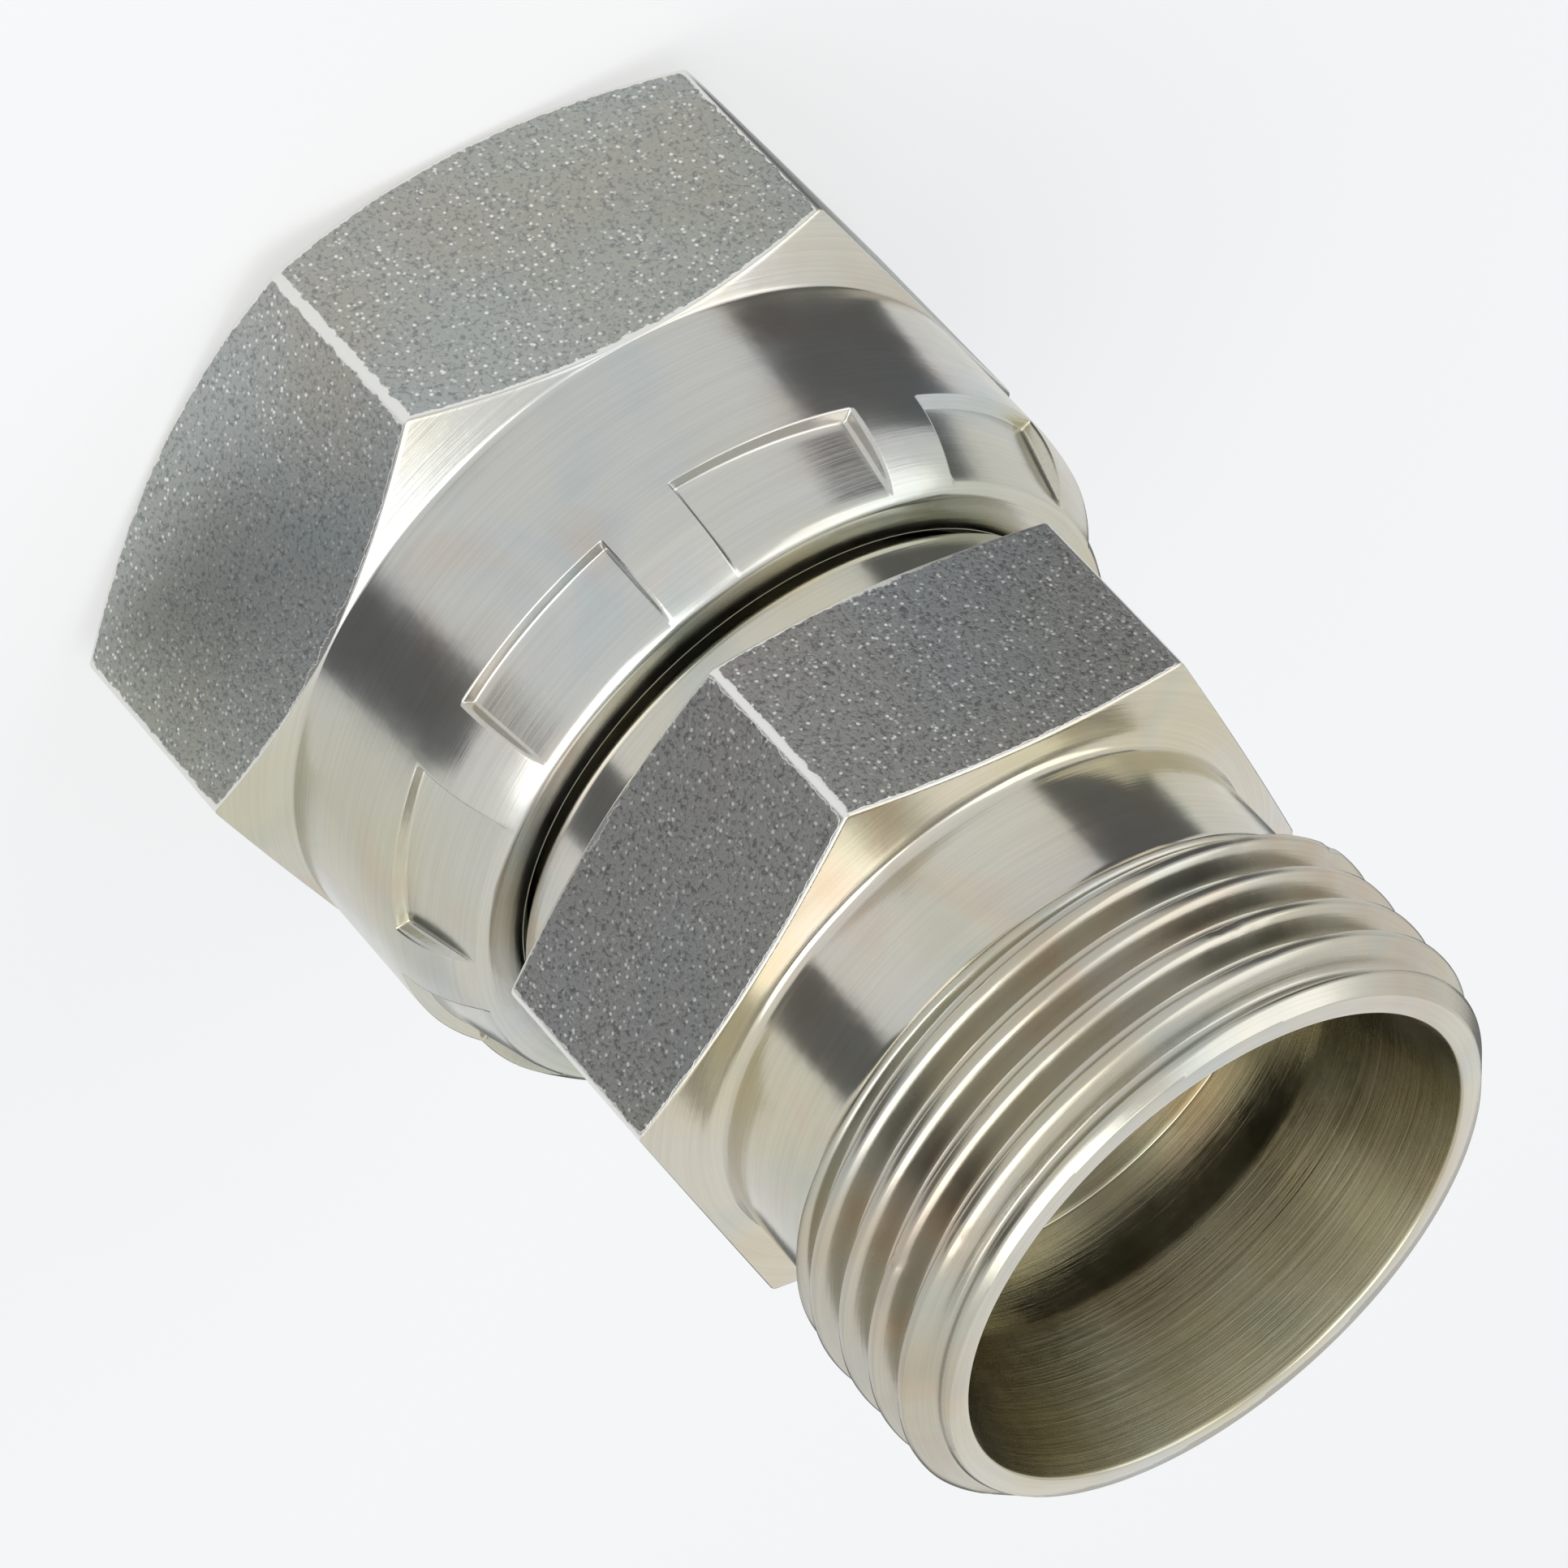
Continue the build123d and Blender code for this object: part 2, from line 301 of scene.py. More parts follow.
def mesh_piece(name, azimuth, blocks, edge_highlight=None, dent=None):
    """A closed turned surface from blocks of rows, each (rows, finish per gap, shift).

    Vertex = (r cos a, r sin a, z). Equal vertices are merged, and a quad that loses one
    corner by that becomes a triangle.
    """
    quads, finishes, start = [], [], 0
    for rows, finish, shift in blocks:
        count = rows.shape[0] * rows.shape[1]
        index = start + np.arange(count).reshape(rows.shape[:2])
        block_quads, quad_finishes = block_faces(index, finish, shift)
        quads.append(block_quads)
        finishes.append(quad_finishes)
        start += count
    quads, finishes = np.concatenate(quads), np.concatenate(finishes)
    outline = np.concatenate([rows.reshape(-1, 2) for rows, _, _ in blocks])
    angle = np.tile(azimuth, len(outline) // len(azimuth))
    r, z = outline[:, 0], outline[:, 1]
    if dent is not None:
        r = dent(r, angle, z)
    points = np.stack([r * np.cos(angle), r * np.sin(angle), z], -1)
    merged, first_at, same = np.unique(
        np.round(points, MERGE_DECIMALS), axis=0, return_index=True, return_inverse=True
    )
    faces = same.reshape(-1)[quads]
    distinct = (faces != np.roll(faces, -1, axis=1)).sum(axis=1)
    crossed = (faces[:, 0] == faces[:, 2]) | (faces[:, 1] == faces[:, 3])
    whole = (distinct == 4) & ~crossed
    partial = (distinct == 3) & ~crossed
    triangles = faces[partial]
    triangles = triangles[triangles != np.roll(triangles, -1, axis=1)]
    totals = np.concatenate([np.full(whole.sum(), 4), np.full(partial.sum(), 3)])
    slots = np.concatenate([finishes[whole], finishes[partial]])
    corners = np.concatenate([faces[whole].ravel(), triangles]).astype(np.int32)
    mesh = bpy.data.meshes.new(name)
    mesh.vertices.add(len(merged))
    mesh.vertices.foreach_set("co", (points[first_at] * MM).astype(np.float32).ravel())
    mesh.loops.add(len(corners))
    mesh.loops.foreach_set("vertex_index", corners)
    mesh.polygons.add(len(totals))
    mesh.polygons.foreach_set("loop_start", (np.cumsum(totals) - totals).astype(np.int32))
    mesh.polygons.foreach_set("material_index", slots.astype(np.int32))
    mesh.update(calc_edges=True)
    mesh.polygons.foreach_set("use_smooth", np.ones(len(totals), dtype=bool))
    if edge_highlight is not None:
        # Per-vertex mask of the painted edge highlight
        level = mesh.attributes.new("edge_highlight", "FLOAT", "POINT")
        level.data.foreach_set("value", edge_highlight(r, angle, z)[first_at].astype(np.float32))
    mesh.validate()
    piece = bpy.data.objects.new(name, mesh)
    bpy.context.scene.collection.objects.link(piece)
    return piece


def edge_highlight_level(r, angle, z, bar, front, back, reach):
    """Mask of the painted edge highlight: 1 on the edges of a hexagon's flats, 0 from reach on, and 0 off
    the flats.

    The distance is to the nearest corner, or the weighted distance to an end, if less.
    bar is (flats, turn, corner round), front and back are the ends' heights at radius r.
    """
    sideways = np.abs(from_corner(angle, bar[1])) * r
    endways = np.minimum(np.abs(front - z), np.abs(z - back)) * HIGHLIGHT_END_WEIGHT
    on_flat = np.abs(r - hexagon_radius(angle, *bar)) < HIGHLIGHT_SLACK
    return np.clip(1.0 - np.minimum(sideways, endways) / reach, 0, 1) * on_flat


def body_hex_ends(r):
    """Heights of the front and back chamfer of the body's hexagon at radius r."""
    inward = corner_radius(BODY_FLATS) - r
    return BODY_HEX_FRONT + inward * BODY_FRONT_TAN, BODY_HEX_BACK - inward * BODY_BACK_TAN


def nut_hex_ends(r):
    """Heights of the front and back chamfer of the nut's hexagon at radius r."""
    inward = corner_radius(NUT_FLATS) - r
    return NUT_HEX_FRONT + inward * NUT_CHAMFER_TAN, NUT_HEX_BACK - inward * NUT_CHAMFER_TAN


def under_stub_cones(r, z):
    """Radius kept under the run-out cone over the neck and the lead-in cone at the face."""
    run_out = NECK_R + (z - NECK_END) / RUNOUT_SLOPE
    lead_in = FACE_OUTER_R + (STUB_FACE - z) / LEAD_IN_SLOPE
    return np.minimum(r, np.minimum(run_out, lead_in))


def over_hole_cones(r, z):
    """Radius kept over the cone in the mouth and the cone up to the relief bore."""
    return np.maximum(r, np.maximum(MOUTH_LEAD_R - z, FEMALE_MINOR_R + z - FEMALE_THREAD_END))


def nose_radius(z):
    """Radius of the nose cone at height z."""
    return NOSE_R - (NOSE_TOP - z) * SEAT_TAN


def nick_dents():
    """A function that lowers the crests by depth * exp(-(distance / size)^2) at each nick."""
    angles = rng.uniform(0, 2 * math.pi, NICKS)
    heights = rng.uniform(*NICK_HEIGHTS, NICKS)
    sizes = rng.uniform(*NICK_SIZES, NICKS)
    depths = rng.uniform(*NICK_DEPTHS, NICKS)

    def dent(r, angle, z):
        in_band = (z > NICKED_BAND[0]) * (z < NICKED_BAND[1])
        on_crest = np.clip((r - NICK_FOOT_R) / NICK_FULL_RISE, 0, 1) * in_band
        for nick_angle, height, size, depth in zip(angles, heights, sizes, depths):
            arc = (angle - nick_angle + math.pi) % (2 * math.pi) - math.pi
            far = ((arc * THREAD_R) ** 2 + ((z - height) * NICK_STRETCH) ** 2) / size**2
            r = r - depth * on_crest * np.exp(-far)
        return r

    return dent


def body_piece():
    """The one-piece body: closed outline from the nose up to the face and back down the bore."""
    azimuth = azimuths(np.arange(0, 360, 60), CORNER_COLUMNS)
    bar = (BODY_FLATS, 0.0, BODY_CORNER_ROUND)
    hexagon = hexagon_radius(azimuth, *bar)
    hex_front, hex_back = body_hex_ends(hexagon)
    foot_r = NECK_R + NECK_FILLET
    foot_z, _ = body_hex_ends(foot_r)
    _, collar_end = body_hex_ends(COLLAR_R)
    outer = [
        station(TAIL_BORE_R, NOSE_TIP),
        station(nose_radius(NOSE_TIP) - NOSE_EDGE, NOSE_TIP),
        station(nose_radius(NOSE_TIP), NOSE_TIP + NOSE_EDGE),
        station(nose_radius(RING_GROOVE_LOW), RING_GROOVE_LOW),
        station(RING_GROOVE_R, RING_GROOVE_LOW),
        station(RING_GROOVE_R, RING_GROOVE_HIGH),
        station(nose_radius(RING_GROOVE_HIGH), RING_GROOVE_HIGH),
        station(NOSE_R, NOSE_TOP),
        station(NOSE_R, FLANGE_FRONT),
        station(FLANGE_R - FLANGE_EDGE, FLANGE_FRONT, 0.15),
        station(FLANGE_R, FLANGE_FRONT + FLANGE_EDGE),
        station(FLANGE_R, SHOULDER_SUM - FLANGE_R),
        station(GROOVE_R, SHOULDER_SUM - GROOVE_R),
        station(GROOVE_R, COLLAR_START),
        station(COLLAR_R - COLLAR_EDGE, COLLAR_START + COLLAR_DISH),
        station(COLLAR_R, COLLAR_EDGE_END, 0.12),
        station(COLLAR_R, collar_end),
        station(hexagon, hex_back, 0.09, FLAT),
        station(hexagon, hex_back + HIGHLIGHT_ROW_REACH, NO_BREAK, FLAT),
        station(hexagon, hex_front - HIGHLIGHT_ROW_REACH, NO_BREAK, FLAT),
        station(hexagon, hex_front, 0.09),
        station(foot_r, foot_z, 0.2),
        station(NECK_R + NECK_FILLET_IN, foot_z + NECK_FILLET_UP),
        station(NECK_R, foot_z + NECK_FILLET, 0.15),
        station(NECK_R, NECK_END - NECK_LAST_ROW, 0.02),
        station(NECK_R, NECK_END),
    ]
    inner = [
        station(FACE_OUTER_R, STUB_FACE),
        station(MOUTH_R, STUB_FACE, finish=BORE),
        station(SOCKET_R, SEAT_END, 0.12, BORE),
        station(SOCKET_R, SOCKET_END, 0.08, BORE),
        station(BORE_R, SOCKET_END, 0.15, BORE),
        station(BORE_R, TAIL_BORE_TOP + BORE_STEP, finish=BORE),
        station(TAIL_BORE_R, TAIL_BORE_TOP, finish=BORE),
        station(TAIL_BORE_R, NOSE_TIP),
    ]
    radii, flats = (THREAD_ROOT_R, THREAD_R), (THREAD_ROOT_FLAT, THREAD_CREST_FLAT)
    thread, per_pitch = thread_rows(
        azimuth, radii, flats, NECK_END, STUB_FACE, THREAD_PHASE_Z, under_stub_cones
    )
    blocks = [
        (*rounded(outer, len(azimuth)), 0),
        (thread, [THREAD] * (len(thread) - 1), per_pitch),
        (*rounded(inner, len(azimuth)), 0),
    ]

    def edge_highlight(r, angle, z):
        """Painted highlight on the edges of the body's hexagon."""
        in_length = (z > BODY_HEX_BACK - HIGHLIGHT_HEX_MARGIN) & (z < BODY_HEX_FRONT + HIGHLIGHT_HEX_MARGIN)
        on_hexagon = in_length & (r > COLLAR_R + HIGHLIGHT_COLLAR_MARGIN)
        return edge_highlight_level(r, angle, z, bar, *body_hex_ends(r), BODY_HIGHLIGHT_REACH) * on_hexagon

    return mesh_piece("body", azimuth, blocks, edge_highlight, nick_dents())


def nut_piece():
    """The swivel nut: mouth face, hexagon, shank, crimped skirt and lip, then the inside."""
    corner_part = azimuths(NUT_TURN + np.arange(0, 360, 60), CORNER_COLUMNS)
    centres = JAW_FIRST_ANGLE + np.arange(JAWS) * JAW_SPACING
    sides = np.concatenate([centres - JAW_WIDTH_ANGLE / 2, centres + JAW_WIDTH_ANGLE / 2])
    jaw_part = (sides[:, None] + np.array(JAW_COLUMNS)[None, :]).ravel() % 360.0
    azimuth = np.unique(np.round(np.concatenate([corner_part, np.radians(jaw_part)]), 6))
    bar = (NUT_FLATS, NUT_TURN, NUT_CORNER_ROUND)
    hexagon = hexagon_radius(azimuth, *bar)
    hex_front, hex_back = nut_hex_ends(hexagon)
    shank_foot, _ = nut_hex_ends(SHANK_R)
    face_r = corner_radius(NUT_FLATS) - NUT_HEX_BACK / NUT_CHAMFER_TAN
    thread_top = FEMALE_THREAD_END + RELIEF_R - FEMALE_MINOR_R
    outer = [
        station(MOUTH_LEAD_R, 0),
        station(face_r, 0, 0.15),
        station(hexagon, hex_back, finish=FLAT),
        station(hexagon, hex_back + HIGHLIGHT_ROW_REACH, NO_BREAK, FLAT),
        station(hexagon, hex_front - HIGHLIGHT_ROW_REACH, NO_BREAK, FLAT),
        station(hexagon, hex_front),
        station(SHANK_R, shank_foot, 0.12),
        station(SHANK_R, SKIRT_START - 1.0, 0.05),
        station(SHANK_R, SKIRT_START),
    ]
    lip = [
        station(LIP_OUTER_R, LIP_FACE - LIP_CORNER_DROP),
        station(LIP_OUTER_R - LIP_EDGE, LIP_FACE),
        station(LIP_INNER_R + LIP_EDGE, LIP_FACE),
        station(LIP_INNER_R, LIP_FACE - LIP_EDGE),
        station(LIP_INNER_R, LIP_BACK),
        station(RELIEF_R, LIP_BACK - (RELIEF_R - LIP_INNER_R)),
        station(RELIEF_R, thread_top),
    ]
    radii, flats = (FEMALE_MINOR_R, FEMALE_ROOT_R), (FEMALE_CREST_FLAT, FEMALE_ROOT_FLAT)
    inside, per_pitch = thread_rows(azimuth, radii, flats, 0.0, thread_top, 0.0, over_hole_cones)
    skirt = skirt_rows(azimuth)
    blocks = [
        (*rounded(outer, len(azimuth)), 0),
        (skirt, [TURNED] * (len(skirt) - 1), 0),
        (*rounded(lip, len(azimuth)), 0),
        (inside[::-1], [THREAD] * (len(inside) - 1), -per_pitch),
    ]

    def edge_highlight(r, angle, z):
        """Painted highlight on the edges of the nut's hexagon, and more faintly on the rim of its lip."""
        front, back = nut_hex_ends(r)
        in_length = (z < front + HIGHLIGHT_EDGE_MARGIN) & (z > back - HIGHLIGHT_EDGE_MARGIN)
        on_hexagon = in_length & (z < shank_foot + HIGHLIGHT_HEX_MARGIN)
        from_rim = np.hypot(r - LIP_OUTER_R, z - LIP_FACE + HIGHLIGHT_EDGE_MARGIN)
        rim = np.clip(1.0 - from_rim / LIP_HIGHLIGHT_REACH, 0, 1) * LIP_HIGHLIGHT_LEVEL
        return np.maximum(edge_highlight_level(r, angle, z, bar, front, back, NUT_HIGHLIGHT_REACH) * on_hexagon, rim)

    return mesh_piece("nut", azimuth, blocks, edge_highlight)


def skirt_rows(azimuth):
    """Crimped skirt: radius = shank - rate * h^power, h the height over the skirt's start.

    A sixth power of h brings its end to the lip's radius. Inside an imprint the radius
    steps at the leaning back edge to a floor that falls evenly to the lip. The rows
    follow the back edge, which runs over from one imprint to the next between them.
    """
    from_first = np.degrees(azimuth) - JAW_FIRST_ANGLE
    number = np.round(from_first / JAW_SPACING).astype(int)
    off = from_first - number * JAW_SPACING
    side = np.sign(off)
    half = JAW_WIDTH_ANGLE / 2
    lean = np.tan(np.radians(np.array(JAW_LEAN)))
    in_jaw = np.clip((half - np.abs(off)) / JAW_WALL_ANGLE + 0.5, 0, 1)
    sideways = JAW_RADIUS * np.sin(np.radians(np.clip(off, -half, half)))
    own_back = JAW_BACK + sideways * lean[number % JAWS]
    half_width = JAW_RADIUS * math.sin(math.radians(half))
    next_back = JAW_BACK - half_width * side * lean[(number + side.astype(int)) % JAWS]
    share = np.clip((np.abs(off) - half) / (JAW_SPACING - JAW_WIDTH_ANGLE), 0, 1)
    back = own_back * (1 - share) + next_back * share
    end = LIP_FACE - LIP_CORNER_DROP
    floor_start = back + JAW_STEP_PLACES[-1]
    heights = [np.full_like(back, SKIRT_START)]
    heights += [back + place for place in JAW_STEP_PLACES]
    heights += [floor_start + (end - floor_start) * up for up in np.linspace(0.1, 1.0, JAW_FLOOR_ROWS)]
    z = np.array(heights)
    depth = np.array([0.0, *JAW_STEP_DEPTHS] + [1.0] * JAW_FLOOR_ROWS)[:, None]
    h = np.maximum(z - SKIRT_START, 0.0)
    full_h = end - SKIRT_START
    lip_pull = LIP_OUTER_R - (SHANK_R - ROLL_RATE * full_h**ROLL_POWER)
    rib = SHANK_R - ROLL_RATE * h**ROLL_POWER + lip_pull * (h / full_h) ** LIP_PULL_POWER
    fall = (z - JAW_BACK) / (LIP_FACE - JAW_LIP_DROP - JAW_BACK)
    floor = (SHANK_R - JAW_DEPTH) * (1 - fall) + (LIP_OUTER_R + JAW_LIP_RISE) * fall
    pressed = np.minimum(rib, floor)
    return np.stack([rib + (pressed - rib) * depth * in_jaw, z], -1)


def ring_piece():
    """The sealing ring: a torus, r = centre + section cos(t), z = height + section sin(t)."""
    azimuth = np.radians(np.arange(0.0, 360.0, 3.0))
    t = np.radians(np.arange(0.0, 361.0, 15.0))
    r = RING_CENTRE_R + RING_SECTION_R * np.cos(t)
    z = RING_Z + RING_SECTION_R * np.sin(t)
    rows = np.broadcast_to(np.stack([r, z], -1)[:, None, :], (len(t), len(azimuth), 2))
    return mesh_piece("ring", azimuth, [(rows, [TURNED] * (len(t) - 1), 0)])


def group(name, inputs, outputs):
    """A new shader node group with its sockets, and its input and output nodes."""
    tree = bpy.data.node_groups.new(name, "ShaderNodeTree")
    for title, kind, value in inputs:
        socket = tree.interface.new_socket(title, in_out="INPUT", socket_type=kind)
        socket.default_value = value
    for title, kind in outputs:
        tree.interface.new_socket(title, in_out="OUTPUT", socket_type=kind)
    return tree, tree.nodes.new("NodeGroupInput"), tree.nodes.new("NodeGroupOutput")


def add(tree, kind, inputs=None, **settings):
    """A node with its settings, and its inputs linked or set."""
    node = tree.nodes.new(kind)
    for key, value in settings.items():
        setattr(node, key, value)
    for key, value in (inputs or {}).items():
        if isinstance(value, bpy.types.NodeSocket):
            tree.links.new(value, node.inputs[key])
        else:
            node.inputs[key].default_value = value
    return node


def place_on_piece(tree):
    """The point's own place on the piece."""
    return add(tree, "ShaderNodeTexCoord").outputs["Object"]


def maths(tree, operation, a, b=0.0):
    """One Math node."""
    return add(tree, "ShaderNodeMath", {0: a, 1: b}, operation=operation).outputs[0]


def mix_colour(tree, factor, a, b, blend="MIX"):
    """One colour Mix node."""
    node = add(tree, "ShaderNodeMix", {0: factor, 6: a, 7: b}, data_type="RGBA", blend_type=blend)
    return node.outputs[2]


def ramp(tree, value, low, high, to_low=0.0, to_high=1.0):
    """Map Range from low..high to to_low..to_high, clamped."""
    node = add(tree, "ShaderNodeMapRange", {0: value, 1: low, 2: high, 3: to_low, 4: to_high})
    return node.outputs[0]


def noise(tree, vector, scale, detail=2.0, rough=0.5, distortion=0.0, w=None):
    """One noise texture, four-dimensional when w is given."""
    inputs = {
        "Vector": vector, "Scale": scale, "Detail": detail, "Roughness": rough, "Distortion": distortion
    }
    if w is not None:
        inputs["W"] = w
    return add(tree, "ShaderNodeTexNoise", inputs, noise_dimensions="3D" if w is None else "4D")


def turning_lines_group():
    """Fine lines round the axis: noise of the place along the outline, slowly varying round it."""
    tree, given, out = group(
        "turning lines",
        [("Lines", "NodeSocketFloat", 9000.0), ("Waviness", "NodeSocketFloat", 1.2)],
        [("Height", "NodeSocketFloat"), ("Streak", "NodeSocketFloat")],
    )
    lines, wave = given.outputs["Lines"], given.outputs["Waviness"]
    parts = add(tree, "ShaderNodeSeparateXYZ", {0: place_on_piece(tree)}).outputs
    flat = add(tree, "ShaderNodeCombineXYZ", {0: parts[0], 1: parts[1]}).outputs[0]
    radius = add(tree, "ShaderNodeVectorMath", {0: flat}, operation="LENGTH").outputs["Value"]
    heading = add(tree, "ShaderNodeVectorMath", {0: flat}, operation="NORMALIZE").outputs[0]
    around = add(tree, "ShaderNodeSeparateXYZ", {0: heading}).outputs
    x = maths(tree, "MULTIPLY", around[0], wave)
    y = maths(tree, "MULTIPLY", around[1], wave)
    z = maths(tree, "MULTIPLY", parts[2], lines)
    w = maths(tree, "MULTIPLY", radius, lines)
    along = add(tree, "ShaderNodeCombineXYZ", {0: x, 1: y, 2: z}).outputs[0]
    coarse_share = 0.23
    coarse_w = maths(tree, "MULTIPLY", w, coarse_share)
    fine = noise(tree, along, 1.0, 4.0, 0.7, w=w).outputs["Fac"]
    coarse = noise(tree, along, coarse_share, w=coarse_w).outputs["Fac"]
    tree.links.new(maths(tree, "ADD", fine, coarse), out.inputs["Height"])
    tree.links.new(ramp(tree, fine, 0.42, 0.62), out.inputs["Streak"])
    return tree


def bar_grain_group():
    """Grain of the drawn bar: small bumps of two sizes, and the mask of the few cells whose colour gets a
    painted glint.
    """
    tree, given, out = group(
        "bar grain",
        [("Scale", "NodeSocketFloat", 3600.0)],
        [("Height", "NodeSocketFloat"), ("Painted glint", "NodeSocketFloat"), ("Pit", "NodeSocketFloat")],
    )
    place, scale = place_on_piece(tree), given.outputs["Scale"]
    bumps = noise(tree, place, scale, 3.0, 0.62, 0.4).outputs["Fac"]
    swell = noise(tree, place, maths(tree, "MULTIPLY", scale, 0.12)).outputs["Fac"]
    cell_inputs = {"Vector": place, "Scale": scale, "Randomness": 1.0}
    cell = add(tree, "ShaderNodeTexVoronoi", cell_inputs, feature="F1")
    tone = add(tree, "ShaderNodeSeparateColor", {0: cell.outputs["Color"]}).outputs[0]
    bright_cells = ramp(tree, tone, 0.72, 0.95)
    cell_middles = ramp(tree, cell.outputs["Distance"], 0.5, 0.25)
    height = maths(tree, "ADD", bumps, maths(tree, "MULTIPLY", swell, 0.5))
    tree.links.new(height, out.inputs["Height"])
    tree.links.new(maths(tree, "MULTIPLY", bright_cells, cell_middles), out.inputs["Painted glint"])
    tree.links.new(ramp(tree, bumps, 0.5, 0.36), out.inputs["Pit"])
    return tree


# Films that the plating shows in patches
STRAW_FILM = (0.98, 0.94, 0.78, 1)
ROSE_FILM = (1.0, 0.86, 0.8, 1)
BLUE_FILM = (0.82, 0.92, 1.0, 1)


def plating_tint_group():
    """Slow patches of straw, rose and blue over the zinc, as its thin clear film has them."""
    tree, given, out = group(
        "plating tint",
        [
            ("Scale", "NodeSocketFloat", 120.0),
            ("Strength", "NodeSocketFloat", 1.0),
            ("Base", "NodeSocketColor", (0.8, 0.79, 0.75, 1)),
        ],
        [("Colour", "NodeSocketColor")],
    )
    place = place_on_piece(tree)
    scale, strength = given.outputs["Scale"], given.outputs["Strength"]
    one = noise(tree, place, scale).outputs["Fac"]
    two = noise(tree, place, maths(tree, "MULTIPLY", scale, 1.7), distortion=0.6).outputs["Color"]
    picks = add(tree, "ShaderNodeSeparateColor", {0: two}).outputs
    patches = [
        (ramp(tree, one, 0.42, 0.68), STRAW_FILM),
        (ramp(tree, picks[0], 0.52, 0.72, 0.0, 0.7), ROSE_FILM),
        (ramp(tree, picks[2], 0.5, 0.72, 0.0, 0.7), BLUE_FILM),
    ]
    colour = given.outputs["Base"]
    for patch, film in patches:
        colour = mix_colour(tree, maths(tree, "MULTIPLY", patch, strength), colour, film, "MULTIPLY")
    tree.links.new(colour, out.inputs["Colour"])
    return tree


def edge_highlight_group():
    """Where edges get a painted highlight: the painted highlight attribute of the piece's vertices,
    broken up by noise.
    """
    tree, given, out = group(
        "painted edge highlight", [("Reach", "NodeSocketFloat", 0.5)], [("Mask", "NodeSocketFloat")]
    )
    reach = given.outputs["Reach"]
    level = add(tree, "ShaderNodeAttribute", attribute_name="edge_highlight").outputs["Fac"]
    ragged = noise(tree, place_on_piece(tree), 2600.0, 3.0, 0.6).outputs["Fac"]
    uneven = maths(tree, "MULTIPLY", maths(tree, "SUBTRACT", ragged, 0.5), 0.9)
    mask = ramp(tree, maths(tree, "ADD", level, uneven), reach, maths(tree, "ADD", reach, 0.12))
    tree.links.new(mask, out.inputs["Mask"])
    return tree


LINES = turning_lines_group()
GRAIN = bar_grain_group()
TINT = plating_tint_group()
HIGHLIGHT_GROUP = edge_highlight_group()


def new_material(name):
    """An empty node material with a Principled shader."""
    material = bpy.data.materials.new(name)
    material.use_nodes = True
    tree = material.node_tree
    tree.nodes.clear()
    shader = tree.nodes.new("ShaderNodeBsdfPrincipled")
    out = tree.nodes.new("ShaderNodeOutputMaterial")
    tree.links.new(shader.outputs[0], out.inputs[0])
    return material, tree, shader


def use(tree, node_group, **values):
    """A group node with its inputs set."""
    node = tree.nodes.new("ShaderNodeGroup")
    node.node_tree = node_group
    for key, value in values.items():
        node.inputs[key].default_value = value
    return node


def bump(tree, height, strength, distance, normal=None):
    """One Bump node."""
    inputs = {"Strength": strength, "Distance": distance, "Height": height}
    if normal is not None:
        inputs["Normal"] = normal
    return add(tree, "ShaderNodeBump", inputs).outputs[0]


STREAK_COLOUR = (0.25, 0.24, 0.2, 1)
# Base colour of the painted glints on a few grain cells
PAINTED_GLINT_COLOUR = (0.82, 0.82, 0.8, 1)
# Base colour of the painted highlight along the hexagon edges and the lip rim
EDGE_HIGHLIGHT_COLOUR = (0.8, 0.79, 0.76, 1)


def turned_zinc(name, base, lines=9000.0, line_bump=0.25, roughness=0.2, dark=0.12):
    """Bright plated surface with lathe lines, under a film in slow patches."""
    material, tree, shader = new_material(name)
    film = use(tree, TINT, Scale=110.0, Strength=1.0, Base=base)
    turning = use(tree, LINES, Lines=lines, Waviness=1.4)
    cloud = noise(tree, place_on_piece(tree), 420.0, 3.0, 0.6).outputs["Fac"]
    streak = maths(tree, "MULTIPLY", turning.outputs["Streak"], dark)
    colour = mix_colour(tree, streak, film.outputs[0], STREAK_COLOUR)
    tree.links.new(colour, shader.inputs["Base Color"])
    rough = ramp(tree, cloud, 0.3, 0.7, roughness * 0.8, roughness * 1.3)
    tree.links.new(rough, shader.inputs["Roughness"])
    shader.inputs["Metallic"].default_value = 1.0
    normal = bump(tree, turning.outputs["Height"], line_bump, 0.00002)
    tree.links.new(bump(tree, cloud, 0.12, 0.0001, normal), shader.inputs["Normal"])
    return material


